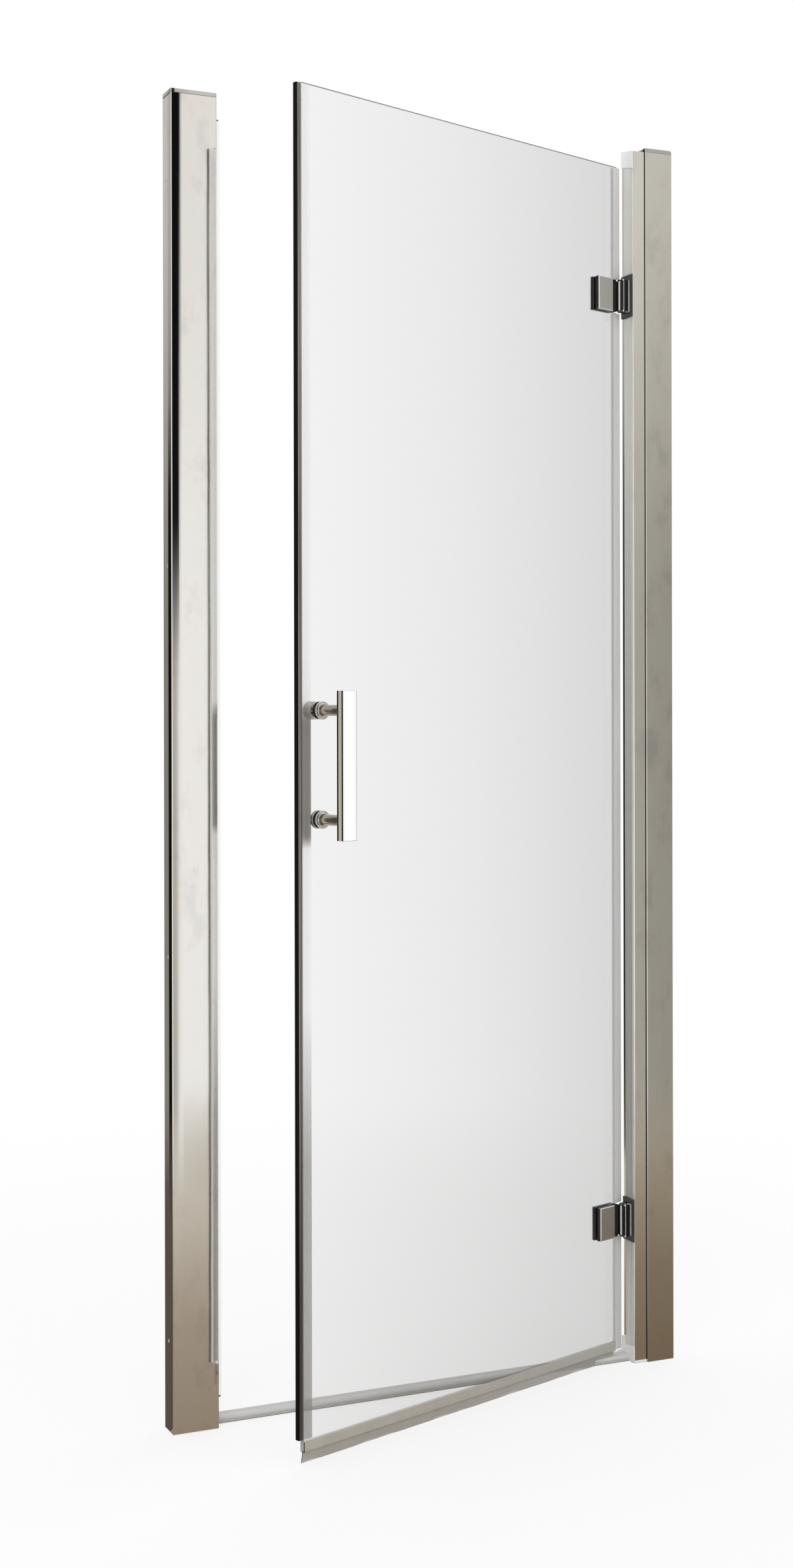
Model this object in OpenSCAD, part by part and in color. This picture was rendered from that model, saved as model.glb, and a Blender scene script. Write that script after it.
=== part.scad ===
// Hinged shower door: a framed recess door, 6 mm glass on two offset pivot hinges.
// Millimetres. X runs along the doorway, -Y is the outside (the side the door opens to), Z is up.
// The origin is on the tray, under the threshold, half way between the two walls.
// Door pieces are drawn about the pivot with the door shut, then swung open together.

/* [Frame] */
// Width from wall to wall
overall_w = 800; // [720:1:1000]
// Height of the frame, caps included
frame_h = 1850; // [1750:1:2000]
// Depth of the posts, front to back
post_d = 37; // [35:0.5:44]
// Width of the post that the door shuts against
strike_post_w = 66.5; // [60:0.5:80]
// Width of the wall channel on the hinge side
wall_channel_w = 46.5; // [42:0.5:60]
// Width of the hinge jamb that shows beside its wall channel
jamb_reveal = 21; // [16:0.5:24]
// Wall thickness of the wall channels
channel_t = 1.7; // [1.4:0.1:2]
// Wall thickness of the jamb profiles
jamb_t = 1.8; // [1.5:0.1:2.2]
// Sliding clearance between a jamb and its wall channel
slide_gap = 0.2; // [0.15:0.05:0.4]
// Radius on the outer long edges of the posts
edge_r = 1.2; // [0.8:0.1:1.6]
// Thickness of the caps on the posts
cap_t = 6; // [4:0.5:8]
// Thickness of the plastic foot under the hinge jamb
foot_t = 4.5; // [3:0.5:6]
// Length of the plugs that hold caps and feet in the profiles
plug_len = 12; // [8:1:20]

/* [Threshold] */
// Depth of the threshold bar, front to back
threshold_d = 19; // [17:0.5:22]
// Height of the threshold bar above its tape
threshold_h = 9.4; // [8:0.1:10.5]
// Distance of the bar's front edge in front of the frame's middle
threshold_front = 1.5; // [1.2:0.1:2.5]
// Thickness of the black mounting tape
tape_t = 0.8; // [0.5:0.1:1.2]

/* [Glass] */
// Thickness of the glass
glass_t = 6; // [5:0.5:6.5]
// Distance from the top of the frame down to the glass
glass_drop = 27; // [24:1:60]
// Height of the glass's lower edge above the tray
glass_z = 18; // [17.5:0.5:20]
// Distance from the frame's middle back to the glass's front face
glass_set_back = 9.5; // [9.3:0.1:10.5]
// Gap from the hinge jamb to the glass when shut
hinge_edge_gap = 12.2; // [11:0.1:15]
// Angle that the door stands open
door_angle = 19; // [0:1:90]

/* [Seals] */
// Thickness of the seal walls
seal_t = 1.2; // [1:0.1:1.4]
// Clearance between seal and glass
seal_gap = 0.15; // [0.1:0.05:0.2]
// How far the upright seals reach over the glass
seal_leg = 13.5; // [9:0.5:15]
// How far the bottom seal reaches up the glass
bottom_leg = 12.5; // [8:0.5:14]
// Length of the magnetic nose beyond the glass
nose_len = 8.8; // [8:0.1:12]
// Thickness of the magnet strips
magnet_t = 3.3; // [2.5:0.1:4]
// Depth of the magnet strip, front to back
magnet_d = 6.5; // [5.5:0.1:7.2]
// Reach of the strike seal from its post
strike_out = 13.5; // [10:0.5:14]
// Thickness of the clear skin over the fixed magnet
strike_skin = 0.8; // [0.5:0.1:1]
// Gap between the two seals when shut
magnet_gap = 1.8; // [0.5:0.1:2.5]
// How far the hinge side seal reaches over the glass
hinge_leg = 8; // [7:0.5:14]
// Reach of the fin on the hinge side
lip_len = 5.5; // [4:0.5:8]
// How far the upright seals stop below the top of the glass
seal_drop = 1.5; // [0.5:0.5:4]
// Height above the tray at which the upright magnetic seal ends
nose_end_z = 34; // [30:1:44]
// Height of the drip fin's lower edge above the tray
fin_clear = 1; // [0.8:0.1:2]
// Distance of the drip fin's hinge end, where it is cut to ride over the threshold
fin_cut = 41; // [34:1:50]

/* [Hinges] */
// Distance from each end of the glass to the middle of its hinge
hinge_end = 198; // [120:1:300]
// Distance from the jamb's face to the pivot
pivot_out = 7.2; // [6.5:0.1:7.5]
// Radius of the turning barrel
barrel_r = 8.3; // [7.8:0.1:8.4]
// Height of the turning barrel
barrel_h = 45; // [40:1:48]
// Radial clearance round barrel and pin
pivot_gap = 0.06; // [0.03:0.01:0.1]
// Clearance above and below the barrel
end_gap = 0.2; // [0.15:0.05:0.4]
// Thickness of the fixed shell round the barrel
shell_t = 0.95; // [0.8:0.05:1.2]
// Thickness of the shell's two ends
shell_end_t = 1.5; // [1.2:0.1:2]
// Radius of the hinge pin
pin_r = 2.5; // [2:0.1:3]
// Width of the glass clamp
clamp_w = 32; // [28:0.5:40]
// Height of the glass clamp
clamp_h = 50; // [48:1:60]
// Distance from the pivot to the clamp
clamp_x = 21.6; // [20:0.1:25]
// Thickness of the leaf's own plate
leaf_t = 4.4; // [2:0.1:5]
// Thickness of the polished cover on the leaf
cover_t = 3; // [1.5:0.1:3.5]
// Thickness of the clamp's back plate
back_t = 6.4; // [3:0.1:7]
// Thickness of the clamp's gaskets
gasket_t = 0.6; // [0.5:0.1:1.5]
// Height of the black plate on the jamb
plate_h = 64.4; // [63:0.2:70]
// Width of the black plate on the jamb
plate_w = 32; // [30:0.5:33]
// Thickness of the black plate
plate_t = 2; // [1.5:0.1:2.5]

/* [Handle] */
// Length of the handle bar
bar_len = 197; // [180:1:300]
// Width of the handle bar
bar_w = 23.8; // [18:0.1:28]
// Thickness of the handle bar
bar_t = 13.5; // [12:0.5:18]
// Height of the handle's middle above the tray
handle_z = 922; // [800:1:1150]
// Distance between the two handle posts
post_spacing = 145; // [128:1:160]
// Radius of the handle posts
post_r = 7.5; // [6:0.25:9]
// Gap from the glass to the handle bar
finger_gap = 44; // [38:0.5:60]
// Radius of the roses on the glass
rose_r = 12.2; // [11:0.2:16]
// Thickness of the roses
rose_t = 4.2; // [3:0.1:6]
// Distance from the glass's free edge to the handle
handle_inset = 33; // [30:0.5:60]
// Reach of the round knob inside
knob_out = 20; // [16:0.5:30]
// Reach of the flat cap inside
inner_cap_out = 5; // [4:0.5:8]

/* [Fixings] */
// Radius of the holes for the wall screws
wall_hole_r = 2.5; // [2:0.1:3.5]
// Distance from each end of a wall channel to its first screw hole
wall_hole_end = 125; // [80:5:250]
// Distance of the two middle screw holes
wall_hole_mid = 540; // [400:10:700]
// Radius of the locking screws' threads
lock_r = 2; // [1.5:0.1:2.5]
// Distance of the first and last locking screws from the frame's ends
lock_end = 150; // [100:5:250]
// Distance from the left wall to its locking screws
lock_left = 22; // [16:0.5:28]
// Distance from the right wall channel's edge to its locking screws
lock_right = 21.5; // [14:0.5:24]
// Radius of the clamp screws' threads
clamp_screw_r = 3; // [2.5:0.1:3.5]
// Radius of the hinge screws' threads
base_screw_r = 2.5; // [2:0.1:2.5]

/* [Hidden] */
$fn = 64;

// Half widths and the faces of the posts
half_w = overall_w / 2;
half_d = post_d / 2;
strike_face = -half_w + strike_post_w;
channel_edge = half_w - wall_channel_w;
jamb_face = channel_edge - jamb_reveal;
jamb_half_d = half_d - channel_t - slide_gap;
post_top = frame_h - cap_t;
jamb_len_in = 31;
left_channel_w = 40;
left_half_d = half_d - jamb_t - slide_gap;
plug_gap = 0.3;

// Side channel of the hinge jamb, where hinges and infill sit
slot_w = 20.6;
slot_deep = 5;
slot_floor = jamb_face + slot_deep;
infill_face = 0.6;
infill_w = slot_w - 0.4;

// Pivot and heights
pivot_x = jamb_face - pivot_out;
pivot_y = 0;
glass_top = frame_h - glass_drop;
seal_top = glass_top - seal_drop;
hinge_zs = [glass_z + hinge_end, glass_top - hinge_end];
handle_zs = [handle_z - post_spacing / 2, handle_z + post_spacing / 2];

// Places on the door, measured from the pivot with the door shut
glass_front = glass_set_back;
glass_back = glass_front + glass_t;
glass_mid_y = glass_front + glass_t / 2;
hinge_edge = -(hinge_edge_gap - pivot_out);
nose_tip = strike_face + strike_out + magnet_gap - pivot_x;
free_edge = nose_tip + nose_len;
glass_w = hinge_edge - free_edge;
handle_x = free_edge + handle_inset;

// Hinge leaf and shell
shell_in_r = barrel_r + pivot_gap;
shell_r = shell_in_r + shell_t;
shell_h = barrel_h + 2 * end_gap + 2 * shell_end_t;
slot_from = 85;
slot_to = 243;
body_foot_t = 3;
body_foot_w = slot_w - 1;
base_head_r = base_screw_r * 1.4;
base_screw_z = shell_h / 2 + base_head_r + 0.3;
body_foot_h = 2 * (base_screw_z + base_head_r);
hinge_zone = max(plate_h, body_foot_h + 1) / 2 + 0.3;
neck_front = 5.5;
neck_end = -shell_r - 0.9;
neck_h = shell_h;
neck_back = glass_back + 0.5;
neck_in = 2.4;
notch_deep = clamp_x + neck_in - (hinge_edge_gap - pivot_out) + 1;
notch_h = clamp_h + 0.6;
leaf_front = glass_front - gasket_t - leaf_t;
cover_front = leaf_front - cover_t;
clamp_back_y = glass_back + gasket_t;
clamp_screw_x = -clamp_x - clamp_w * 0.5;
clamp_screw_dz = 13;
bush_t = 2;
bevel = 0.8;

// Glass holes and handle
handle_hole_r = 6;
washer_t = 1;
stud_r = 4;
bar_back = glass_front - finger_gap;
bar_edge_r = 0.9;
rose_face = glass_front - washer_t - rose_t;
inner_face = glass_back + washer_t;

// Seals
leg_front = glass_front - seal_gap - seal_t;
leg_back = glass_back + seal_gap;
nose_half = (glass_t + 2 * seal_gap + 0.9) / 2 + 0.1;
web_out = seal_gap + seal_t;
seal_break = clamp_h / 2 + 1.2;
bottom_web_z = glass_z - web_out;
fin_t = 1.1;
fin_lean = 2.4;

// Threshold
bar_y = -threshold_front;
bar_top = tape_t + threshold_h;
bar_round = 6;
bar_wall = 1.4;
end_block_h = 22;
end_rise = 4.4;
cap_round = 4;
end_plate_t = 1.2;
lock_zs = [lock_end, frame_h / 2, frame_h - lock_end];
lock_x_left = -half_w + lock_left;
lock_x_right = channel_edge + lock_right;
wall_hole_zs = [wall_hole_end, frame_h / 2 - wall_hole_mid / 2,
    frame_h / 2 + wall_hole_mid / 2, frame_h - wall_hole_end];

// A box given by its limits
module slab(x0, x1, y0, y1, z0, z1) {
    translate([x0, y0, z0])
        cube([x1 - x0, y1 - y0, z1 - z0]);
}

// A rectangle given by its limits, with round corners
module round_rect(x0, x1, y0, y1, r) {
    translate([x0 + r, y0])
        square([x1 - x0 - 2 * r, y1 - y0]);
    translate([x0, y0 + r])
        square([x1 - x0, y1 - y0 - 2 * r]);
    for (x = [x0 + r, x1 - r], y = [y0 + r, y1 - r])
        translate([x, y])
            circle(r = r);
}

// A profile standing up between two heights
module upright(z0, z1) {
    translate([0, 0, z0])
        linear_extrude(z1 - z0)
            children();
}

// A profile drawn across the doorway as [y, z], running from x0 to x1
module along_x(x0, x1) {
    translate([x0, 0, 0])
        rotate([90, 0, 90])
            linear_extrude(x1 - x0)
                children();
}

// A round bar along Y between two depths
module along_y(x, z, y0, y1, r) {
    translate([x, y0, z])
        rotate([-90, 0, 0])
            cylinder(r = r, h = y1 - y0);
}

// A round bar along X between two places
module rod_x(y, z, x0, x1, r) {
    translate([x0, y, z])
        rotate([0, 90, 0])
            cylinder(r = r, h = x1 - x0);
}

// Moves door pieces from the pivot to their place, swung open
module on_door() {
    translate([pivot_x, pivot_y, 0])
        rotate([0, 0, door_angle])
            children();
}

// A plate with its four front edges bevelled; front is at y0 and faces -Y
module bevelled_plate(x0, x1, y0, t, z_mid, h, b) {
    intersection() {
        upright(z_mid - h / 2, z_mid + h / 2)
            polygon([[x0, y0 + t], [x0, y0 + b], [x0 + b, y0],
                [x1 - b, y0], [x1, y0 + b], [x1, y0 + t]]);
        along_x(x0 - 1, x1 + 1)
            polygon([[y0 + t, z_mid - h / 2], [y0 + b, z_mid - h / 2], [y0, z_mid - h / 2 + b],
                [y0, z_mid + h / 2 - b], [y0 + b, z_mid + h / 2], [y0 + t, z_mid + h / 2]]);
    }
}

// Post against which the door shuts: one profile, open towards the wall
module strike_jamb() {
    color("gainsboro")
    difference() {
        upright(0, post_top)
            difference() {
                round_rect(-half_w, strike_face, -half_d, half_d, edge_r);
                translate([-half_w - 1, -half_d + jamb_t])
                    square([strike_post_w + 1 - jamb_t, post_d - 2 * jamb_t]);
            }
        for (z = lock_zs)
            along_y(lock_x_left, z, half_d - jamb_t - 1, half_d + 1, lock_r + 0.1);
    }
}

// Channel screwed to the wall, inside the strike jamb
module wall_channel_left() {
    color("silver")
    difference() {
        upright(0.5, post_top - 1)
            difference() {
                translate([-half_w, -left_half_d])
                    square([left_channel_w, 2 * left_half_d]);
                translate([-half_w + channel_t, -left_half_d + channel_t])
                    square([left_channel_w, 2 * (left_half_d - channel_t)]);
            }
        for (z = wall_hole_zs)
            rod_x(0, z, -half_w - 1, -half_w + channel_t + 1, wall_hole_r);
        for (z = lock_zs)
            along_y(lock_x_left, z, left_half_d - channel_t - 1, left_half_d + 1, lock_r);
    }
}

// Channel screwed to the wall, round the hinge jamb
module wall_channel_right() {
    color("gainsboro")
    difference() {
        upright(0, post_top)
            difference() {
                round_rect(channel_edge, half_w, -half_d, half_d, edge_r);
                translate([channel_edge - 1, -half_d + channel_t])
                    square([wall_channel_w + 1 - channel_t, post_d - 2 * channel_t]);
            }
        for (z = wall_hole_zs)
            rod_x(0, z, half_w - channel_t - 1, half_w + 1, wall_hole_r);
        for (z = lock_zs)
            along_y(lock_x_right, z, half_d - channel_t - 1, half_d + 1, lock_r + 0.1);
    }
}

// Outline of the hinge jamb: a box with a shallow slot in the face towards the door
module hinge_jamb_outline() {
    jamb_end = channel_edge + jamb_len_in;
    inner = jamb_half_d - jamb_t;
    slot_half = slot_w / 2;
    difference() {
        round_rect(jamb_face, jamb_end, -jamb_half_d, jamb_half_d, edge_r);
        translate([jamb_face - 1, -slot_half])
            square([slot_deep + 1, slot_w]);
        translate([slot_floor + jamb_t, -inner])
            square([jamb_end - slot_floor - 2 * jamb_t, 2 * inner]);
    }
}

// Profile that carries the hinges and slides in its wall channel
module hinge_jamb() {
    color("gainsboro")
    difference() {
        upright(foot_t, post_top - 0.2)
            hinge_jamb_outline();
        for (z = hinge_zs, s = [-1, 1])
            rod_x(0, z + s * base_screw_z, slot_floor - 1, slot_floor + jamb_t + 1, base_screw_r + 0.1);
        for (z = lock_zs)
            along_y(lock_x_right, z, jamb_half_d - jamb_t - 1, jamb_half_d + 1, lock_r);
    }
}

// Cap on the strike post
module top_cap_left() {
    inner = left_half_d - channel_t - plug_gap;
    color("silver")
    union() {
        upright(post_top, frame_h)
            round_rect(-half_w, strike_face, -half_d, half_d, edge_r);
        slab(-half_w + left_channel_w + 1, strike_face - jamb_t - plug_gap,
            -half_d + jamb_t + plug_gap, half_d - jamb_t - plug_gap, post_top - plug_len, post_top);
        slab(-half_w + channel_t + plug_gap, -half_w + left_channel_w + 1,
            -inner, inner, post_top - plug_len, post_top);
    }
}

// Cap on the hinge side's wall channel, rounded down at the wall
module top_cap_right() {
    color("silver")
    union() {
        intersection() {
            upright(post_top, frame_h)
                round_rect(channel_edge, half_w, -half_d, half_d, edge_r);
            translate([0, half_d + 1, 0])
                rotate([90, 0, 0])
                    linear_extrude(post_d + 2)
                        union() {
                            translate([channel_edge - 1, post_top - 1])
                                square([wall_channel_w + 1 - cap_round, cap_t + 1]);
                            translate([half_w - cap_round, frame_h - cap_round])
                                circle(r = cap_round);
                            translate([channel_edge, post_top - 1])
                                square([wall_channel_w, cap_t + 1 - cap_round]);
                        }
        }
        slab(channel_edge + jamb_len_in + plug_gap, half_w - channel_t - plug_gap,
            -half_d + channel_t + plug_gap, half_d - channel_t - plug_gap,
            post_top - plug_len, post_top);
    }
}

// White cover on the top of the hinge jamb, with a plug down its slot
module jamb_top_block() {
    half = slot_w / 2 - 0.15;
    front = -jamb_half_d + 0.6;
    color("whitesmoke")
    union() {
        along_x(jamb_face - end_plate_t, jamb_face)
            polygon([[front, post_top - end_block_h - end_rise], [half, post_top - end_block_h + 2],
                [jamb_half_d, post_top - end_block_h + 2], [jamb_half_d, frame_h - 0.5], [front, post_top]]);
        along_x(jamb_face - 0.1, channel_edge - 1)
            polygon([[front, post_top - 0.2], [jamb_half_d, post_top - 0.2], [jamb_half_d, frame_h - 0.5],
                [front, post_top]]);
        slab(jamb_face - 0.1, slot_floor, -half, half, post_top - end_block_h + 1, post_top);
    }
}

// Plastic foot under the hinge jamb, with a plug up into it
module jamb_foot() {
    inner = jamb_half_d - jamb_t - plug_gap;
    color("whitesmoke")
    union() {
        slab(jamb_face, channel_edge + jamb_len_in, -jamb_half_d, jamb_half_d, 0, foot_t);
        slab(slot_floor + jamb_t + plug_gap, channel_edge + jamb_len_in - jamb_t - plug_gap,
            -inner, inner, foot_t - 0.1, foot_t + plug_len);
    }
}

// Clip-in strips that close the slot between the hinges
module jamb_infill_strips() {
    half = infill_w / 2;
    face = jamb_face + infill_face;
    stops = [end_block_h + 0.3, hinge_zs[0] - hinge_zone, hinge_zs[0] + hinge_zone,
        hinge_zs[1] - hinge_zone, hinge_zs[1] + hinge_zone, post_top - end_block_h + 0.7];
    color("lightgray")
    for (i = [0 : 2 : 4])
        upright(stops[i], stops[i + 1])
            difference() {
                translate([face, -half])
                    square([slot_floor - face, infill_w]);
                translate([face + 1.2, -half + 1.2])
                    square([slot_deep, infill_w - 2.4]);
                for (y = [-half + 3.2, half - 3.2])
                    translate([face - 0.1, y - 0.6])
                        square([0.7, 1.2]);
            }
}

// Black wipers between the hinge jamb and the edges of its wall channel
module channel_wipers() {
    color("black")
    for (s = [-1, 1])
        slab(channel_edge - 0.8, channel_edge, s > 0 ? jamb_half_d : -half_d + edge_r / 2,
            s > 0 ? half_d - edge_r / 2 : -jamb_half_d, foot_t, post_top - 0.3);
}

// Clear profile on the strike post that holds the fixed magnet
module strike_seal() {
    tip = strike_face + strike_out;
    pocket = tip - strike_skin - magnet_t;
    color("lightgray")
    upright(nose_end_z, seal_top)
        difference() {
            translate([strike_face, glass_mid_y - nose_half])
                square([strike_out, 2 * nose_half]);
            translate([strike_face + seal_t, glass_mid_y - nose_half + seal_t])
                square([pocket - strike_face - 2 * seal_t, 2 * (nose_half - seal_t)]);
            translate([pocket, glass_mid_y - magnet_d / 2])
                square([magnet_t, magnet_d]);
        }
}

// Fixed magnet strip
module strike_magnet() {
    pocket = strike_face + strike_out - strike_skin - magnet_t;
    color("black")
    slab(pocket, pocket + magnet_t, glass_mid_y - magnet_d / 2, glass_mid_y + magnet_d / 2,
        nose_end_z, seal_top);
}

// Section of the threshold: flat base and top, rounded front edge
module threshold_section(inset) {
    r = bar_round - inset;
    y0 = bar_y + inset;
    y1 = bar_y + threshold_d - inset;
    z0 = tape_t + inset;
    z1 = bar_top - inset;
    translate([y0 + r, z0])
        square([y1 - y0 - r, z1 - z0]);
    translate([y0, z0])
        square([r, z1 - z0 - r]);
    intersection() {
        translate([y0 + r, z1 - r])
            circle(r = r);
        translate([y0, z1 - r])
            square([r, r]);
    }
}

// Hollow aluminium bar across the doorway
module threshold_bar() {
    color("silver")
    along_x(strike_face, jamb_face)
        difference() {
            threshold_section(0);
            threshold_section(bar_wall);
        }
}

// Black tape that sticks the bar to the tray
module threshold_tape() {
    color("black")
    slab(strike_face + 1, jamb_face - 1, bar_y + 0.5, bar_y + threshold_d - 0.5, 0, tape_t);
}

// Plug in the bar's end at the strike post
module threshold_end_left() {
    color("whitesmoke")
    along_x(strike_face, strike_face + 2 * plug_len)
        threshold_section(bar_wall + 0.15);
}

// White block on the hinge jamb's foot: plate, plug into the bar, tab and sealing lip
module threshold_end_right() {
    half = slot_w / 2 - 0.15;
    tab_h = 34.5;
    tab_t = 4;
    lip_reach = 16;
    lip_y = bar_y + threshold_d - 5;
    color("whitesmoke")
    union() {
        difference() {
            along_x(jamb_face - end_plate_t, jamb_face)
                polygon([[-jamb_half_d + 0.6, 0], [jamb_half_d, 0], [jamb_half_d, end_block_h],
                    [half, end_block_h], [-jamb_half_d + 0.6, end_block_h + end_rise]]);
            along_x(jamb_face - end_plate_t - 1, jamb_face + 1)
                threshold_section(0);
            slab(jamb_face - end_plate_t - 1, jamb_face + 1,
                bar_y + 0.2, bar_y + threshold_d + 0.2, -1, tape_t);
        }
        slab(jamb_face, slot_floor, -half, half, foot_t, bar_top + 0.4);
        slab(jamb_face - 0.1, slot_floor, -half, half, bar_top + 0.2, end_block_h);
        slab(jamb_face - 0.5, jamb_face + 0.5, bar_y + bar_round, half, foot_t + 0.2,
            bar_top - bar_wall - 0.3);
        along_x(jamb_face - 2 * plug_len, jamb_face)
            threshold_section(bar_wall + 0.15);
        slab(jamb_face - tab_t, jamb_face, lip_y, lip_y + 4, bar_top, tab_h);
        translate([0, lip_y + 4, 0])
            rotate([90, 0, 0])
                linear_extrude(4)
                    polygon([[jamb_face, bar_top], [jamb_face, bar_top + 4.5],
                        [jamb_face - tab_t, bar_top + 4.5], [jamb_face - lip_reach, bar_top + 1],
                        [jamb_face - lip_reach, bar_top]]);
    }
}

// Screws that lock each jamb to its wall channel, on the inside face
module locking_screws() {
    color("silver")
    for (z = lock_zs, x = [lock_x_left, lock_x_right])
        union() {
            along_y(x, z, half_d, half_d + 2, lock_r * 1.9);
            along_y(x, z, half_d - 8, half_d + 1, lock_r);
        }
}

// Snap caps over the locking screws
module screw_caps() {
    head = lock_r * 1.9;
    color("whitesmoke")
    for (z = lock_zs, x = [lock_x_left, lock_x_right])
        difference() {
            along_y(x, z, half_d, half_d + 3.2, head + 1.4);
            along_y(x, z, half_d - 1, half_d + 2.1, head + 0.1);
        }
}

// A pie-shaped cutter for the open side of the hinge shell
module slot_sector(from, to) {
    reach = 2 * shell_r;
    steps = 6;
    polygon(concat([[0, 0]],
        [for (i = [0 : steps]) let (a = from + (to - from) * i / steps) [reach * cos(a), reach * sin(a)]]));
}

// Fixed half of a hinge: a foot in the jamb's slot and an open shell round the barrel
module hinge_body(z) {
    foot_x = slot_floor - body_foot_t - pivot_x;
    color("silver")
    translate([pivot_x, pivot_y, z])
        difference() {
            union() {
                translate([0, 0, -shell_h / 2])
                    cylinder(r = shell_r, h = shell_h);
                slab(0, foot_x + 0.5, -shell_r * 0.66, shell_r * 0.66, -shell_h / 2, shell_h / 2);
                slab(foot_x, foot_x + body_foot_t, -body_foot_w / 2, body_foot_w / 2,
                    -body_foot_h / 2, body_foot_h / 2);
            }
            translate([0, 0, -barrel_h / 2 - end_gap])
                cylinder(r = shell_in_r, h = barrel_h + 2 * end_gap);
            translate([0, 0, -barrel_h / 2 - end_gap])
                linear_extrude(barrel_h + 2 * end_gap)
                    slot_sector(slot_from, slot_to);
            translate([0, 0, -shell_h])
                cylinder(r = pin_r, h = 2 * shell_h);
            for (s = [-1, 1])
                rod_x(0, s * base_screw_z, foot_x - 1, foot_x + body_foot_t + 1, base_screw_r + 0.1);
        }
}

// Black plate that trims the hinge on the jamb's face
module hinge_plate(z) {
    window_h = shell_h + 1.2;
    window_w = 2 * shell_r + 0.8;
    color("dimgray")
    difference() {
        slab(jamb_face - plate_t, jamb_face, -plate_w / 2, plate_w / 2, z - plate_h / 2, z + plate_h / 2);
        slab(jamb_face - plate_t - 1, jamb_face + 1, -window_w / 2, window_w / 2,
            z - window_h / 2, z + window_h / 2);
    }
}

// Steel pins held in the shells' ends
module hinge_pins() {
    color("gray")
    for (z = hinge_zs)
        translate([pivot_x, pivot_y, z - shell_h / 2])
            cylinder(r = pin_r, h = shell_h);
}

// Screws through the hinge feet, under the black plates
module hinge_body_screws() {
    foot_x = slot_floor - body_foot_t;
    color("gray")
    for (z = hinge_zs, s = [-1, 1])
        union() {
            rod_x(0, z + s * base_screw_z, foot_x - 1.6, foot_x, base_head_r);
            rod_x(0, z + s * base_screw_z, foot_x - 0.1, slot_floor + jamb_t + 6, base_screw_r);
        }
}

// Nut plates inside the hinge jamb
module hinge_nut_plates() {
    back = slot_floor + jamb_t;
    color("gray")
    for (z = hinge_zs)
        difference() {
            slab(back, back + 4, -body_foot_w / 2, body_foot_w / 2,
                z - body_foot_h / 2, z + body_foot_h / 2);
            for (s = [-1, 1])
                rod_x(0, z + s * base_screw_z, back - 1, back + 5, base_screw_r);
        }
}

// Toughened glass, notched at the hinges and drilled for clamps and handle
module glass_panel() {
    color([0.85, 0.92, 0.9, 0.4])
    on_door()
        difference() {
            slab(free_edge, hinge_edge, glass_front, glass_back, glass_z, glass_top);
            for (z = hinge_zs)
                slab(hinge_edge - notch_deep, hinge_edge + 1, glass_front - 1, glass_back + 1,
                    z - notch_h / 2, z + notch_h / 2);
            for (z = hinge_zs, s = [-1, 1])
                along_y(clamp_screw_x, z + s * clamp_screw_dz, glass_front - 1, glass_back + 1,
                    clamp_screw_r + bush_t);
            for (z = handle_zs)
                along_y(handle_x, z, glass_front - 1, glass_back + 1, handle_hole_r);
        }
}

// Turning half of a hinge: barrel, offset neck through the glass's notch, and clamp plate
module hinge_leaf(z) {
    tangent = 100;
    color("dimgray")
    on_door()
        difference() {
            union() {
                translate([0, 0, z - barrel_h / 2])
                    cylinder(r = barrel_r, h = barrel_h);
                upright(z - barrel_h / 2, z + barrel_h / 2)
                    polygon([[neck_end - 0.5, neck_front], [-barrel_r * 0.45, neck_front], [-1, 4],
                        [barrel_r * cos(tangent), barrel_r * sin(tangent)],
                        [neck_end - 0.5, neck_back - 1.5]]);
                slab(-clamp_x - neck_in, neck_end, neck_front, neck_back, z - neck_h / 2, z + neck_h / 2);
                slab(-clamp_x - clamp_w, -clamp_x, leaf_front, leaf_front + leaf_t,
                    z - clamp_h / 2, z + clamp_h / 2);
            }
            translate([0, 0, z - barrel_h])
                cylinder(r = pin_r + pivot_gap, h = 2 * barrel_h);
            for (s = [-1, 1])
                along_y(clamp_screw_x, z + s * clamp_screw_dz, leaf_front - 1, leaf_front + leaf_t + 1,
                    clamp_screw_r);
        }
}

// Polished cover on the outside of a clamp
module clamp_cover(z) {
    color("silver")
    on_door()
        bevelled_plate(-clamp_x - clamp_w, -clamp_x, cover_front, cover_t, z, clamp_h, bevel);
}

// Back plate of a clamp, on the inside of the glass
module clamp_back(z) {
    color("silver")
    on_door()
        difference() {
            translate([0, clamp_back_y + back_t, 0])
                mirror([0, 1, 0])
                    bevelled_plate(-clamp_x - clamp_w, -clamp_x + 8, 0, back_t, z, clamp_h, bevel);
            for (s = [-1, 1]) {
                along_y(clamp_screw_x, z + s * clamp_screw_dz, clamp_back_y - 1, clamp_back_y + back_t + 1,
                    clamp_screw_r + 0.1);
                along_y(clamp_screw_x, z + s * clamp_screw_dz, clamp_back_y + back_t - 2,
                    clamp_back_y + back_t + 1, clamp_screw_r * 1.8 + 0.1);
            }
        }
}

// Gaskets on both sides of the glass in each clamp
module clamp_gaskets() {
    color("black")
    on_door()
        for (z = hinge_zs, y = [glass_front - gasket_t, glass_back])
            difference() {
                slab(-clamp_x - clamp_w + 0.4, -clamp_x - neck_in - 1.5, y, y + gasket_t,
                    z - clamp_h / 2 + 0.4, z + clamp_h / 2 - 0.4);
                for (s = [-1, 1])
                    along_y(clamp_screw_x, z + s * clamp_screw_dz, y - 1, y + gasket_t + 1,
                        clamp_screw_r + 0.1);
            }
}

// Plastic bushes that keep the clamp screws off the glass
module clamp_bushes() {
    color("whitesmoke")
    on_door()
        for (z = hinge_zs, s = [-1, 1])
            difference() {
                along_y(clamp_screw_x, z + s * clamp_screw_dz, glass_front, glass_back,
                    clamp_screw_r + bush_t - 0.05);
                along_y(clamp_screw_x, z + s * clamp_screw_dz, glass_front - 1, glass_back + 1,
                    clamp_screw_r + 0.05);
            }
}

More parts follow.
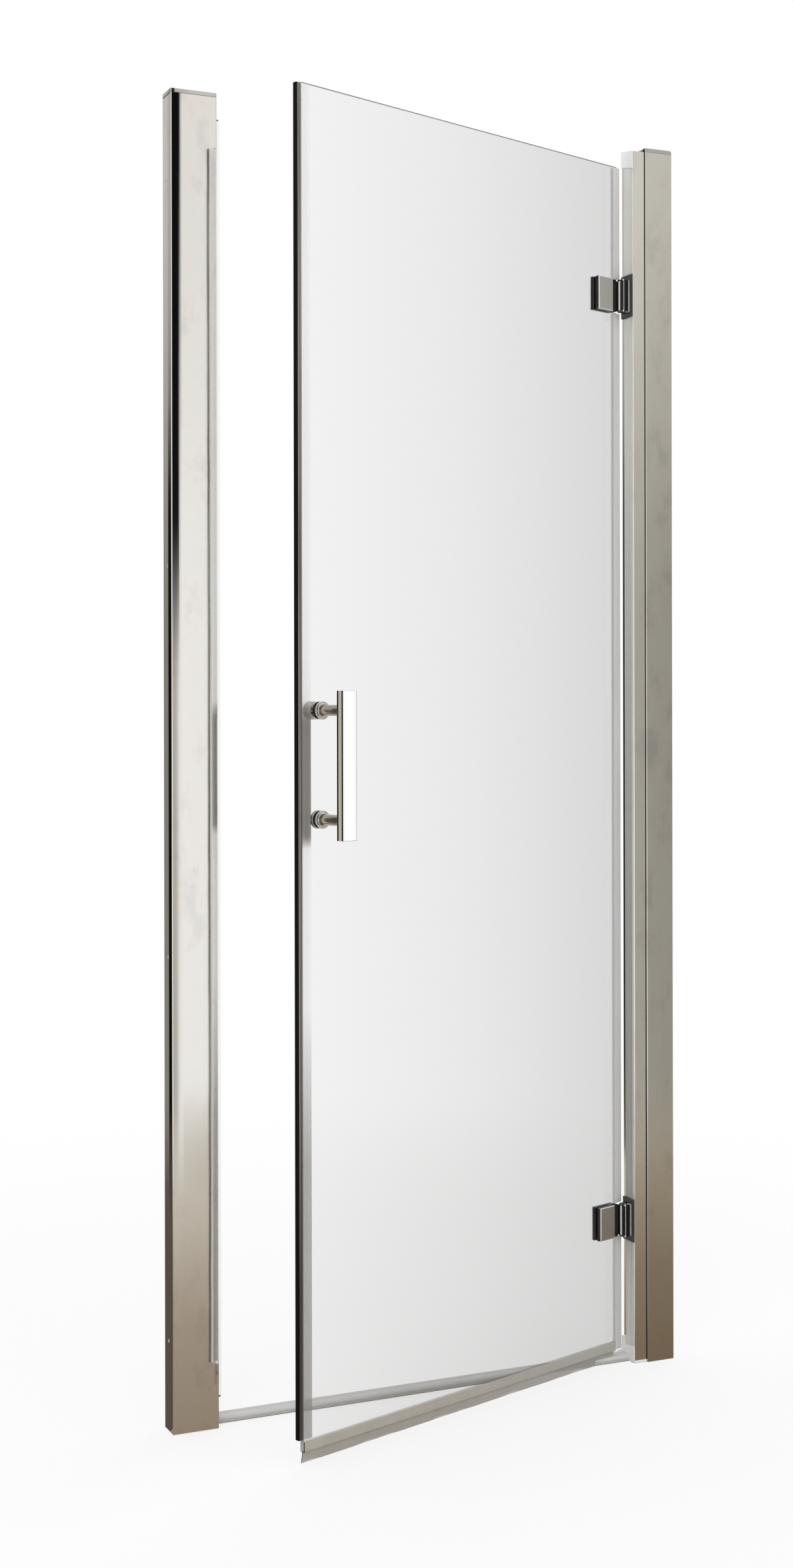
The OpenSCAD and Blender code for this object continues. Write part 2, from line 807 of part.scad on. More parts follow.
// Clamp screws with sunk heads and hex sockets
module clamp_screws() {
    head_y = clamp_back_y + back_t - 2;
    color("gray")
    on_door()
        for (z = hinge_zs, s = [-1, 1])
            difference() {
                union() {
                    along_y(clamp_screw_x, z + s * clamp_screw_dz, head_y, head_y + 1.9,
                        clamp_screw_r * 1.8);
                    along_y(clamp_screw_x, z + s * clamp_screw_dz, leaf_front, head_y + 0.5,
                        clamp_screw_r);
                }
                translate([clamp_screw_x, head_y + 0.4, z + s * clamp_screw_dz])
                    rotate([-90, 0, 0])
                        cylinder(r = clamp_screw_r * 0.75, h = 3, $fn = 6);
            }
}

// Clear magnetic seal on the glass's free edge
module magnetic_seal() {
    color("lightgray")
    on_door()
        upright(nose_end_z, seal_top)
            difference() {
                union() {
                    translate([free_edge - web_out, leg_front])
                        square([seal_leg + web_out, leg_back + seal_t - leg_front]);
                    translate([nose_tip + magnet_t * 0.5, glass_mid_y - nose_half])
                        square([nose_len - web_out, 2 * nose_half]);
                    for (i = [1 : 2])
                        translate([nose_tip + magnet_t + i * (nose_len - magnet_t) / 3.4, leg_front])
                            square([0.9, leg_back + seal_t - leg_front]);
                }
                translate([free_edge - seal_gap, glass_front - seal_gap])
                    square([seal_leg + 1, glass_t + 2 * seal_gap]);
                translate([nose_tip - 1, glass_mid_y - magnet_d / 2])
                    square([magnet_t + 1, magnet_d]);
                translate([nose_tip + magnet_t + seal_t, glass_mid_y - nose_half + seal_t])
                    square([nose_len - magnet_t - 2 * seal_t - web_out, 2 * (nose_half - seal_t)]);
            }
}

// Magnet strip in the seal's nose
module door_magnet() {
    color("black")
    on_door()
        slab(nose_tip, nose_tip + magnet_t, glass_mid_y - magnet_d / 2, glass_mid_y + magnet_d / 2,
            nose_end_z, seal_top);
}

// Clear seal on the hinge side, cut at the hinges, with a fin towards the jamb
module hinge_side_seal() {
    cuts = [glass_z + 0.3, hinge_zs[0] - seal_break, hinge_zs[0] + seal_break,
        hinge_zs[1] - seal_break, hinge_zs[1] + seal_break, seal_top];
    color("lightgray")
    on_door()
        for (i = [0 : 2 : 4])
            upright(cuts[i], cuts[i + 1])
                difference() {
                    union() {
                        translate([hinge_edge - hinge_leg, leg_front])
                            square([hinge_leg + web_out, leg_back + seal_t - leg_front]);
                        translate([hinge_edge, leg_front])
                            square([lip_len, seal_t]);
                        translate([hinge_edge + lip_len - 1, leg_front + 1])
                            circle(r = 1);
                    }
                    translate([hinge_edge - hinge_leg - 1, glass_front - seal_gap])
                        square([hinge_leg + 1 + seal_gap, glass_t + 2 * seal_gap]);
                }
}

// Clear seal under the glass
module bottom_seal() {
    color("lightgray")
    on_door()
        along_x(free_edge, hinge_edge - hinge_leg - 0.3)
            difference() {
                translate([leg_front, bottom_web_z])
                    square([leg_back + seal_t - leg_front, bottom_leg + web_out]);
                translate([glass_front - seal_gap, glass_z - seal_gap])
                    square([glass_t + 2 * seal_gap, bottom_leg + 1]);
            }
}

// Soft fin under the bottom seal, cut short at the hinge end to ride over the threshold
module drip_fin() {
    root = glass_mid_y;
    color("gainsboro")
    on_door()
        difference() {
            along_x(free_edge, hinge_edge - hinge_leg - 0.3)
                polygon([[root - fin_t / 2, bottom_web_z], [root + fin_t / 2, bottom_web_z],
                    [root + fin_lean + fin_t / 2, fin_clear], [root + fin_lean - fin_t / 2, fin_clear]]);
            slab(hinge_edge - hinge_leg - fin_cut, hinge_edge, 0, 4 * root, -1, bar_top + 0.6);
        }
}

// Upright grip bar
module handle_bar() {
    color("silver")
    on_door()
        upright(handle_z - bar_len / 2, handle_z + bar_len / 2)
            round_rect(handle_x - bar_w / 2, handle_x + bar_w / 2, bar_back - bar_t, bar_back, bar_edge_r);
}

// Posts that carry the bar
module handle_posts() {
    color("silver")
    on_door()
        for (z = handle_zs)
            along_y(handle_x, z, bar_back, rose_face, post_r);
}

// Stepped roses on the outside of the glass
module handle_roses() {
    color("silver")
    on_door()
        for (z = handle_zs)
            difference() {
                union() {
                    along_y(handle_x, z, rose_face, rose_face + rose_t, post_r + 1.8);
                    along_y(handle_x, z, rose_face + rose_t * 0.35, rose_face + rose_t, rose_r);
                }
                along_y(handle_x, z, rose_face - 1, rose_face + rose_t + 1, stud_r + 0.05);
            }
}

// Soft washers on both faces of the glass, with a collar in each hole
module handle_washers() {
    color("black")
    on_door()
        for (z = handle_zs)
            difference() {
                union() {
                    along_y(handle_x, z, glass_front - washer_t, glass_front, rose_r - 0.5);
                    along_y(handle_x, z, glass_back, glass_back + washer_t, rose_r - 0.5);
                    along_y(handle_x, z, glass_front - 0.5, glass_back + 0.5, handle_hole_r - 0.1);
                }
                along_y(handle_x, z, glass_front - 2 * washer_t, glass_back + 2 * washer_t, stud_r + 0.05);
            }
}

// Threaded studs through the glass
module handle_studs() {
    color("gray")
    on_door()
        for (z = handle_zs)
            along_y(handle_x, z, rose_face, inner_face + inner_cap_out - 2, stud_r);
}

// Round knob inside, on the upper fixing
module inner_knob() {
    color("silver")
    on_door()
        difference() {
            union() {
                along_y(handle_x, handle_zs[1], inner_face, inner_face + knob_out * 0.4, rose_r - 2.4);
                along_y(handle_x, handle_zs[1], inner_face + knob_out * 0.4, inner_face + knob_out, rose_r);
            }
            along_y(handle_x, handle_zs[1], inner_face - 1, inner_face + inner_cap_out - 2, stud_r + 0.05);
        }
}

// Flat cap inside, on the lower fixing
module inner_cap() {
    color("silver")
    on_door()
        difference() {
            along_y(handle_x, handle_zs[0], inner_face, inner_face + inner_cap_out, rose_r);
            along_y(handle_x, handle_zs[0], inner_face - 1, inner_face + inner_cap_out - 2, stud_r + 0.05);
        }
}

strike_jamb();
wall_channel_left();
wall_channel_right();
hinge_jamb();
top_cap_left();
top_cap_right();
jamb_top_block();
jamb_foot();
jamb_infill_strips();
channel_wipers();
strike_seal();
strike_magnet();
threshold_bar();
threshold_tape();
threshold_end_left();
threshold_end_right();
locking_screws();
screw_caps();
hinge_body(hinge_zs[1]);  // upper_hinge_body
hinge_body(hinge_zs[0]);  // lower_hinge_body
hinge_plate(hinge_zs[1]);  // upper_hinge_plate
hinge_plate(hinge_zs[0]);  // lower_hinge_plate
hinge_pins();
hinge_body_screws();
hinge_nut_plates();
glass_panel();
hinge_leaf(hinge_zs[1]);  // upper_hinge_leaf
hinge_leaf(hinge_zs[0]);  // lower_hinge_leaf
clamp_cover(hinge_zs[1]);  // upper_clamp_cover
clamp_cover(hinge_zs[0]);  // lower_clamp_cover
clamp_back(hinge_zs[1]);  // upper_clamp_back
clamp_back(hinge_zs[0]);  // lower_clamp_back
clamp_gaskets();
clamp_bushes();
clamp_screws();
magnetic_seal();
door_magnet();
hinge_side_seal();
bottom_seal();
drip_fin();
handle_bar();
handle_posts();
handle_roses();
handle_washers();
handle_studs();
inner_knob();
inner_cap();
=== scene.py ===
import math

import bmesh
import bpy
from mathutils import Matrix, Vector


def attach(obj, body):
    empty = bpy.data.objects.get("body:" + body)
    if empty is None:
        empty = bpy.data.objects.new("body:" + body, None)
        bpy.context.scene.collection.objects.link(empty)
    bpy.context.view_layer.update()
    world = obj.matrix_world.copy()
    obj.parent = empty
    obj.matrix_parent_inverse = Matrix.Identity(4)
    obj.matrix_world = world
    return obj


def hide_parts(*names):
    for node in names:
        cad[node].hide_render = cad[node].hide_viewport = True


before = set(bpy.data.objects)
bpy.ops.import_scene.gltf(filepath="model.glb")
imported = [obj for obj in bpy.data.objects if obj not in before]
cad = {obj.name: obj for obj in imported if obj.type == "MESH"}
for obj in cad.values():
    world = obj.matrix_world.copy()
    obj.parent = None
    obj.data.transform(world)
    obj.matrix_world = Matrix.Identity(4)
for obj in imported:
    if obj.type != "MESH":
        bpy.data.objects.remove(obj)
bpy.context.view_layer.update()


# ---------------------------------------------------------------------------------------
# The camera: a long lens at chest height, well to the left of the doorway and level, as
# the photograph was taken. All figures come from a pinhole fit to the frame's edges.
photo_w, photo_h = 1200, 2374
focal_px = 3109.12
lens_centre = (623.51, 1070.36)
sensor_mm = 36

camera_data = bpy.data.cameras.new("viewpoint")
camera_data.sensor_width = sensor_mm
camera_data.lens = focal_px * sensor_mm / photo_h
camera_data.shift_x = -(lens_centre[0] - photo_w / 2) / photo_h
camera_data.shift_y = (lens_centre[1] - photo_h / 2) / photo_h
camera = bpy.data.objects.new("viewpoint", camera_data)
camera.location = (-1.2622, -2.72175, 0.99891)
camera.rotation_euler = (math.radians(90), math.radians(0.11), math.radians(-24.36))
bpy.context.scene.collection.objects.link(camera)
bpy.context.scene.camera = camera
bpy.context.scene.view_settings.view_transform = "Standard"


# ---------------------------------------------------------------------------------------
# The studio: a white room with dark flags and a warm floor. The world is white to the eye
# and through the glass, while metal sees the room itself: soft boxes between dark flags.
class Wire:
    """One output socket. Sums and products of wires add Math nodes to the tree."""

    def __init__(self, board, socket):
        self.board = board
        self.socket = socket

    def _sum(self, operation, first, second):
        return self.board.node("ShaderNodeMath", {"operation": operation}, {0: first, 1: second})

    def __add__(self, other):
        return self._sum("ADD", self, other)

    def __radd__(self, other):
        return self._sum("ADD", other, self)

    def __sub__(self, other):
        return self._sum("SUBTRACT", self, other)

    def __rsub__(self, other):
        return self._sum("SUBTRACT", other, self)

    def __mul__(self, other):
        return self._sum("MULTIPLY", self, other)

    def __truediv__(self, other):
        return self._sum("DIVIDE", self, other)

    def above(self, level):
        return self._sum("GREATER_THAN", self, level)

    def below(self, level):
        return self._sum("LESS_THAN", self, level)

    def larger(self, other):
        return self._sum("MAXIMUM", self, other)

    def out(self, name):
        """Another output of the node that this wire comes from."""
        return Wire(self.board, self.socket.node.outputs[name])


class Board:
    """A node tree, with the one method that puts nodes on it."""

    def __init__(self, tree):
        self.tree = tree
        tree.nodes.clear()

    def node(self, kind, settings=None, values=None):
        made = self.tree.nodes.new(kind)
        for key, value in (settings or {}).items():
            if key == "stops":
                ramp = made.color_ramp
                while len(ramp.elements) < len(value):
                    ramp.elements.new(1.0)
                for stop, (place, colour) in zip(ramp.elements, value):
                    stop.position = place
                    stop.color = (*colour, 1.0)
            else:
                setattr(made, key, value)
        for key, value in (values or {}).items():
            if isinstance(value, Wire):
                self.tree.links.new(value.socket, made.inputs[key])
            elif isinstance(value, tuple) and made.inputs[key].type == "RGBA":
                made.inputs[key].default_value = (*value[:3], 1.0)
            else:
                made.inputs[key].default_value = value
        return Wire(self, made.outputs[0]) if made.outputs else made

    def ramp(self, factor, stops):
        """A colour ramp; a stop's colour may be one grey value."""
        full = [(at, c if isinstance(c, tuple) else (c, c, c)) for at, c in stops]
        return self.node("ShaderNodeValToRGB", {"stops": full}, {"Fac": factor})

    def step(self, value, start, end, low=0.0, high=1.0):
        """A soft step from low to high while value goes from start to end."""
        return self.node("ShaderNodeMapRange", {"interpolation_type": "SMOOTHSTEP"}, {
            0: value, 1: start, 2: end, 3: low, 4: high})

    def mix(self, factor, first, second, blend="MIX"):
        """Two colours mixed."""
        mixed = self.node("ShaderNodeMix", {"data_type": "RGBA", "blend_type": blend},
                          {0: factor, 6: first, 7: second})
        return Wire(self, mixed.socket.node.outputs[2])


def warmed(level):
    """A grey of the room: the darker it is, the more it takes the warm floor's colour."""
    cool = min(1.0, level)
    return (level, level * (0.93 + 0.07 * cool), level * (0.79 + 0.21 * cool))


# What metal sees at each bearing in degrees, level or lower and then high up. 0 is the
# camera's side and 90 the right-hand side. Black flags stand between bright walls.
room_level = [(-180, 0.25), (-165, 0.25), (-152, 0.20), (-148, 0.10), (-144, 0.02), (-132, 0.02),
              (-124, 0.02), (-122, 0.42), (-117, 0.42), (-115, 0.02), (-107, 0.02), (-100, 0.30),
              (-80, 0.90), (-60, 1.00), (-30, 0.95), (-15, 0.45), (-4, 0.50), (6, 0.85),
              (18, 0.93), (25, 0.70), (31, 0.29), (40, 0.25), (48, 0.08), (52, 1.00), (64, 1.00),
              (68, 0.33), (80, 0.05), (95, 0.90), (120, 0.50), (150, 0.40), (180, 0.25)]
room_above = [(-180, 0.60), (-165, 0.58), (-155, 0.55), (-148, 0.50), (-135, 0.45), (-128, 0.40),
              (-123, 0.02), (-107, 0.02), (-100, 0.50), (-80, 0.85), (-30, 0.95), (-20, 0.90),
              (-15, 0.003), (5, 0.003), (8, 0.04), (11, 0.45), (14, 0.72), (18, 0.82), (25, 0.85),
              (31, 0.58), (40, 0.45), (48, 0.08), (52, 1.00), (64, 1.00), (68, 0.37), (80, 0.05),
              (95, 0.90), (120, 0.60), (150, 0.50), (180, 0.60)]
room_low, room_high = 0.02, 0.28

world = bpy.data.worlds.new("studio")
world.use_nodes = True
bpy.context.scene.world = world
air = Board(world.node_tree)
towards = air.node("ShaderNodeSeparateXYZ", values={0: air.node("ShaderNodeTexCoord")})
east, north, up = towards.out("X"), towards.out("Y"), towards.out("Z")
bearing = air.node("ShaderNodeMath", {"operation": "ARCTAN2"}, {0: east, 1: 0.0 - north})
turn = bearing / (2 * math.pi) + 0.5
low_light = air.ramp(turn, [(a / 360 + 0.5, warmed(light)) for a, light in room_level])
high_light = air.ramp(turn, [(a / 360 + 0.5, warmed(light)) for a, light in room_above])
room_light = air.mix(air.step(up, room_low, room_high), low_light, high_light)

# Two black flags give the left post its dark edges: one hangs above eye level in front,
# the other stands behind on the left and ends just above eye level.
hung_span = [(-17, 0.0), (-14, 1.0), (4, 1.0), (8, 0.0)]
stood_span = [(-155, 0.0), (-151, 1.0), (-125, 1.0), (-122, 0.0)]
flag_black, ceiling_grey = (0.004, 0.004, 0.004), (0.85, 0.85, 0.85)
hung, stood = (air.ramp(turn, [(a / 360 + 0.5, dark) for a, dark in span])
               for span in (hung_span, stood_span))
flags = (hung * air.step(up, 0.0, 0.09)).larger(stood * air.step(up, 0.09, 0.17, 1.0, 0.0))
room_light = air.mix(flags, room_light, flag_black)
room_light = air.mix(air.step(up, 0.4, 0.8), room_light, ceiling_grey)
ray = air.node("ShaderNodeLightPath")
plain_rays = ray.out("Is Camera Ray").larger(ray.out("Is Transmission Ray"))
lit = air.mix(ray.out("Is Glossy Ray"), (0.92, 0.92, 0.92), room_light)
air.node("ShaderNodeOutputWorld", values={
    0: air.node("ShaderNodeBackground", values={
        "Color": air.mix(plain_rays, lit, (1.0, 1.0, 1.0)), "Strength": 1.0})})

# The floor is a pale disc that takes a faint shadow near the door. Metal low on the door
# sees the tray and the warm floor in it, darker the nearer they are. Far out, the floor
# gives way to the room.
floor_radius, floor_z, floor_sides = 4.0, -0.0005, 96
floor_mesh = bpy.data.meshes.new("studio_floor")
angles = [i * math.pi / (floor_sides / 2) for i in range(floor_sides)]
rim = [(floor_radius * math.cos(a), floor_radius * math.sin(a), floor_z) for a in angles]
floor_mesh.from_pydata(rim, [], [list(range(floor_sides))])
floor_object = bpy.data.objects.new("studio_floor", floor_mesh)
bpy.context.scene.collection.objects.link(floor_object)


class Finish(Board):
    """A material. made() joins the last shader to its output."""

    def __init__(self, name):
        self.material = bpy.data.materials.new(name)
        self.material.use_nodes = True
        super().__init__(self.material.node_tree)

    def made(self, shader):
        self.node("ShaderNodeOutputMaterial", values={0: shader})
        return self.material

    def place(self):
        """Object coordinates, in metres in the frame."""
        return self.node("ShaderNodeTexCoord").out("Object")

    def stretched(self, scale, at=None, tilt=0.0):
        """Object coordinates after a Mapping node, to stretch a pattern and tilt it."""
        return self.node("ShaderNodeMapping", values={
            0: at or self.place(), "Rotation": (0.0, tilt, 0.0), "Scale": scale})

    def on_door(self):
        """Places on the door in its own frame, from the pivot, with the leaf along -X."""
        return self.node("ShaderNodeMapping", {"vector_type": "TEXTURE"}, {
            0: self.place(), "Location": pivot, "Rotation": (0.0, 0.0, door_lean)})

    def noise(self, vector, scale, detail=2.0, roughness=0.5):
        return self.node("ShaderNodeTexNoise", values={
            "Vector": vector, "Scale": scale, "Detail": detail, "Roughness": roughness})

    def bump(self, height, strength, distance):
        return self.node("ShaderNodeBump", values={
            "Strength": strength, "Distance": distance, "Height": height})

    def principled(self, **values):
        """A Principled shader; underscores in the names stand for spaces."""
        return self.node("ShaderNodeBsdfPrincipled", values={
            key.replace("_", " "): value for key, value in values.items()})


floor_finish = Finish("studio_floor")
spot = floor_finish.place()
far = floor_finish.node("ShaderNodeVectorMath", {"operation": "LENGTH"}, {0: spot}).out("Value")
shadowed = floor_finish.node("ShaderNodeMapRange", values={0: far, 1: 1.0, 2: 2.2, 3: 0.25, 4: 0.0})
floor_ray = floor_finish.node("ShaderNodeLightPath")
seen_direct = floor_ray.out("Is Camera Ray").larger(floor_ray.out("Is Transmission Ray"))
pale = floor_finish.node("ShaderNodeMixShader", values={
    0: shadowed,
    1: floor_finish.node("ShaderNodeEmission", values={"Color": (1.0, 1.0, 1.0)}),
    2: floor_finish.node("ShaderNodeBsdfDiffuse", values={"Color": (0.93, 0.93, 0.93)})})
around = floor_finish.node("ShaderNodeSeparateXYZ", values={0: spot})
ahead = floor_finish.node("ShaderNodeMath", {"operation": "ABSOLUTE"}, {0: around.out("Y")})
tray = floor_finish.ramp(ahead / floor_radius, [
    (0.0, (0.30, 0.245, 0.185)), (0.12, (0.37, 0.31, 0.25)), (0.32, (0.58, 0.54, 0.475)),
    (0.6, (0.76, 0.73, 0.67)), (1.0, (0.80, 0.77, 0.72))])
right_hand = floor_finish.step(around.out("X"), 0.0, 0.4)
tray = floor_finish.mix(right_hand, tray, (0.60, 0.56, 0.50), "MULTIPLY")
left_behind = around.out("X").below(-0.4) * around.out("Y").above(0.0)
tray = floor_finish.mix(left_behind, tray, (0.10, 0.08, 0.065))
under = floor_finish.node("ShaderNodeMixShader", values={
    0: floor_ray.out("Is Glossy Ray"),
    1: floor_finish.node("ShaderNodeBsdfDiffuse", values={"Color": (0.80, 0.80, 0.80)}),
    2: floor_finish.node("ShaderNodeEmission", values={"Color": tray})})
under = floor_finish.node("ShaderNodeMixShader", values={
    0: floor_finish.step(far, 1.25, 2.7), 1: under,
    2: floor_finish.node("ShaderNodeBsdfTransparent")})
floor_mesh.materials.append(floor_finish.made(
    floor_finish.node("ShaderNodeMixShader", values={0: seen_direct, 1: under, 2: pale})))


def soft_box(name, location, aim, size, watts):
    """A square area lamp aimed at a point. Metal doesn't see it: the world has its own."""
    lamp = bpy.data.lights.new(name, "AREA")
    lamp.shape = "RECTANGLE"
    lamp.size, lamp.size_y = size
    lamp.energy = watts
    holder = bpy.data.objects.new(name, lamp)
    holder.location = location
    holder.rotation_euler = (Vector(aim) - Vector(location)).to_track_quat("-Z", "Y").to_euler()
    holder.visible_glossy = False
    holder.visible_transmission = False
    bpy.context.scene.collection.objects.link(holder)


soft_box("key_box", (-2.2, -2.6, 2.6), (0.0, 0.0, 0.9), (1.6, 1.6), 18)
soft_box("rim_box", (2.4, 2.2, 2.2), (0.0, 0.0, 1.0), (1.6, 1.6), 8)


# ---------------------------------------------------------------------------------------
# The left post: a wall channel screwed to the wall, and over it the wide strike jamb. Both
# are extruded aluminium; the jamb is brushed and bright anodised, the channel left plain.
door_lean = math.radians(19)
pivot = (0.3253, 0.0, 0.0)


def aluminium(name, colour, roughness, brushing, mottling=0.05, corner=None, reach=0.017):
    """Extruded and anodised aluminium, with die lines along its length and the slow waves
    of polishing. At a corner (x, y) the faces roll over, as they do on a polished profile."""
    metal = Finish(name)
    die_lines = metal.noise(metal.stretched((1400.0, 1400.0, 3.0)), 1.0, 3.0, 0.6)
    cloud = metal.noise(metal.stretched((9.0, 9.0, 5.0)), 1.0, 3.0)
    wave = metal.noise(metal.stretched((16.0, 16.0, 7.0)), 1.0, 2.0)
    smear = metal.noise(metal.stretched((30.0, 30.0, 17.0), tilt=0.6), 1.0, 5.0, 0.6)
    shade = metal.ramp(die_lines * 0.15 + cloud * 0.25 + smear * 0.6, [
        (0.38, tuple(c * (1 - 1.6 * mottling) for c in colour)),
        (0.47, (colour[0], colour[1] * (1 - 0.4 * mottling), colour[2] * (1 - 0.5 * mottling))),
        (0.62, (colour[0] * (1 - 0.2 * mottling), colour[1], colour[2]))])
    normal = metal.node("ShaderNodeBump", values={
        "Strength": brushing, "Distance": 0.00004, "Height": die_lines})
    surface = wave * 0.00008
    if corner:
        spot = metal.node("ShaderNodeSeparateXYZ", values={0: metal.place()})
        for axis, place, width, fall in (("X", corner[0], reach, 0.30),
                                         ("Y", corner[1], 0.020, 0.32)):
            left = (1.0 - (spot.out(axis) - place) / width).larger(0.0)
            surface = surface - left * left * (0.5 * fall * width)
    rolled = metal.node("ShaderNodeBump", values={
        "Strength": 1.0, "Distance": 1.0, "Height": surface, "Normal": normal})
    return metal.made(metal.principled(
        Base_Color=shade, Metallic=1.0,
        Roughness=roughness + die_lines * 0.03 + cloud * 0.03, Normal=rolled))


post_corner = (-0.400, -0.0185)
strike_aluminium = aluminium("strike_aluminium", (0.90, 0.89, 0.86), 0.025, 0.05, 0.07,
                             post_corner)
bright_aluminium = aluminium("bright_aluminium", (0.88, 0.88, 0.83), 0.09, 0.06, 0.10)
cap_aluminium = aluminium("cap_aluminium", (0.66, 0.66, 0.62), 0.12, 0.08, 0.05,
                          post_corner, 0.0065)


def dress(material, *names):
    """Puts a finish on CAD nodes that stay as they are."""
    for name in names:
        for holder in cad[name].material_slots:
            holder.material = material


dress(strike_aluminium, "strike_jamb", "wall_channel_left")


# ---------------------------------------------------------------------------------------
# The hinge side: a second wall channel, 2 mm proud, and the box-shaped hinge jamb that
# slides in it. Black rubber wipers close the step between the two.
def rubber(name, colour, roughness):
    """Moulded black rubber or tape, dull, with a fine uneven skin."""
    skin = Finish(name)
    grain = skin.noise(skin.place(), 900.0, 3.0)
    return skin.made(skin.principled(
        Base_Color=skin.ramp(grain, [(0.3, colour), (0.75, tuple(c * 1.6 for c in colour))]),
        Roughness=roughness + grain * 0.15,
        Normal=skin.bump(grain, 0.3, 0.00008)))


black_rubber = rubber("black_rubber", (0.012, 0.012, 0.012), 0.5)
black_tape = rubber("black_tape", (0.016, 0.015, 0.014), 0.65)
jamb_aluminium = aluminium("jamb_aluminium", (0.99, 0.985, 0.93), 0.09, 0.06, 0.06)
dress(bright_aluminium, "wall_channel_right")
dress(jamb_aluminium, "hinge_jamb")
dress(black_rubber, "channel_wipers")

# Ribbed strips clip into the jamb's slot above, between and below the hinges. They are
# silver-grey extruded plastic with a satin skin. A painted reflection of the room darkens
# them over their lower half, all but the bottom few centimetres. Ramps over height, here
# and in the seals, run from the floor to height_span.
height_span = 2.0
silver = Finish("silver_plastic")
skin_lines = silver.noise(silver.stretched((1600.0, 1600.0, 5.0)), 1.0, 3.0)
mottle = silver.noise(silver.stretched((14.0, 14.0, 5.0)), 1.0, 2.0)
strip_spot = silver.node("ShaderNodeSeparateXYZ", values={0: silver.place()})
# Painted reflection over height: darkest between about 0.25 and 0.7 m, fading out by 1.5 m, light
# again at the floor.
painted_reflection_by_height = silver.ramp(strip_spot.out("Z") / height_span, [
    (0.0, 1.0), (0.05, 0.9), (0.12, 0.56), (0.33, 0.62), (0.53, 0.77), (0.73, 0.97), (0.9, 1.0)])
silver_plastic = silver.made(silver.principled(
    Base_Color=silver.mix(1.0, painted_reflection_by_height, silver.ramp(skin_lines * 0.4 + mottle * 0.6, [
        (0.3, (0.80, 0.80, 0.77)), (0.7, (0.87, 0.87, 0.84))]), "MULTIPLY"),
    Metallic=0.25, Roughness=0.30 + skin_lines * 0.12,
    Normal=silver.bump(skin_lines, 0.15, 0.00005)))
dress(silver_plastic, "jamb_infill_strips")


# ---------------------------------------------------------------------------------------
# Caps: cast ends on both posts, pushed in by their plugs and flush with the sides. Their
# edges are rolled over by half a millimetre, so they catch the light.
sharp_angle = math.radians(28)


def closed_copy(node):
    """A CAD node's loose triangles, merged into one clean closed mesh."""
    build = bmesh.new()
    build.from_mesh(cad[node].data)
    bmesh.ops.remove_doubles(build, verts=build.verts, dist=3e-6)
    bmesh.ops.dissolve_limit(build, angle_limit=math.radians(0.8),
                             verts=build.verts, edges=build.edges)
    return build


def fitted(name, mesh, materials, body, replaced):
    """Links a finished mesh, and tells the frame what it is and what carries it."""
    piece = bpy.data.objects.new(name, mesh)
    bpy.context.scene.collection.objects.link(piece)
    finish_of_face = [face.material_index for face in mesh.polygons]
    mesh.materials.clear()
    for material in materials:
        mesh.materials.append(material)
    mesh.polygons.foreach_set("material_index", finish_of_face)
    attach(piece, body)
    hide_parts(*replaced)
    return piece


def broken_edges(node, width, segments=2, edge_material=-1):
    """The CAD solid again with every sharp edge rounded, as the real piece has them. The
    edges can have a finish of their own."""
    build = closed_copy(node)
    mesh = bpy.data.meshes.new(node + "_rounded")
    build.to_mesh(mesh)
    build.free()
    mesh.shade_smooth()
    mesh.set_sharp_from_angle(angle=math.radians(9))
    holder = bpy.data.objects.new(node + "_rounded", mesh)
    bpy.context.scene.collection.objects.link(holder)
    rounding = holder.modifiers.new("rounding", "BEVEL")
    rounding.width = width
    rounding.segments = segments
    rounding.limit_method = "ANGLE"
    rounding.angle_limit = sharp_angle
    rounding.use_clamp_overlap = True
    rounding.harden_normals = True
    rounding.miter_outer = "MITER_ARC"
    if edge_material >= 0:
        for _ in range(edge_material + 1):
            mesh.materials.append(None)
        rounding.material = edge_material
    graph = bpy.context.evaluated_depsgraph_get()
    rounded = bpy.data.meshes.new_from_object(holder.evaluated_get(graph))
    rounded.name = node + "_rounded"
    bpy.data.objects.remove(holder)
    bpy.data.meshes.remove(mesh)
    return rounded


def rounded_piece(node, width, material, body="frame", segments=2):
    """Replaces one CAD node by the same solid with broken edges."""
    return fitted(node + "_rounded", broken_edges(node, width, segments), [material],
                  body, [node])


# A painted shadow: a dark finish for the caps' down-facing faces.
painted_cap_shadow = rubber("cap_painted_shadow", (0.06, 0.058, 0.052), 0.4)
for cap_name in ("top_cap_left", "top_cap_right"):
    cap_mesh = broken_edges(cap_name, 0.0006)
    fitted(cap_name + "_rounded", cap_mesh, [cap_aluminium, painted_cap_shadow], "frame",
           [cap_name])
    # The underside is painted dark: a painted shadow for the gap where the cap meets the post.
    for face in cap_mesh.polygons:
        if face.normal.z < -0.3:
            face.material_index = 1


# White moulded pieces: the cover on top of the slot, and the foot under the jamb.
white = Finish("white_plastic")
skin = white.noise(white.place(), 700.0, 3.0)
tone = white.noise(white.place(), 30.0, 2.0)
white_plastic = white.made(white.principled(
    Base_Color=white.ramp(tone, [(0.3, (0.84, 0.84, 0.825)), (0.7, (0.90, 0.90, 0.885))]),
    Roughness=0.38 + skin * 0.12, Normal=white.bump(skin, 0.2, 0.00004)))
rounded_piece("jamb_top_block", 0.0004, white_plastic)
rounded_piece("jamb_foot", 0.0004, white_plastic)


# ---------------------------------------------------------------------------------------
# The strike: a clear profile on the left post with the fixed magnet strip in its nose. The
# figures are places on the door's seals and glass, in metres from the pivot, and the
# heights between which the upright seal carries a painted reflection, a darker brown
# stretch, each with how much.
nose_starts, nose_back, magnet_ends = -0.6374, 0.0162, -0.6404
glass_edge_x, glass_middle, rear_leg, seal_end = -0.635, 0.0125, 0.0152, -0.6341
joint_low, joint_high = 0.0159, 0.0172
painted_reflection_heights = [(0.40, 0.35), (0.60, 0.0), (0.812, 0.0), (0.828, 0.62),
                 (0.982, 0.62), (1.008, 0.0)]


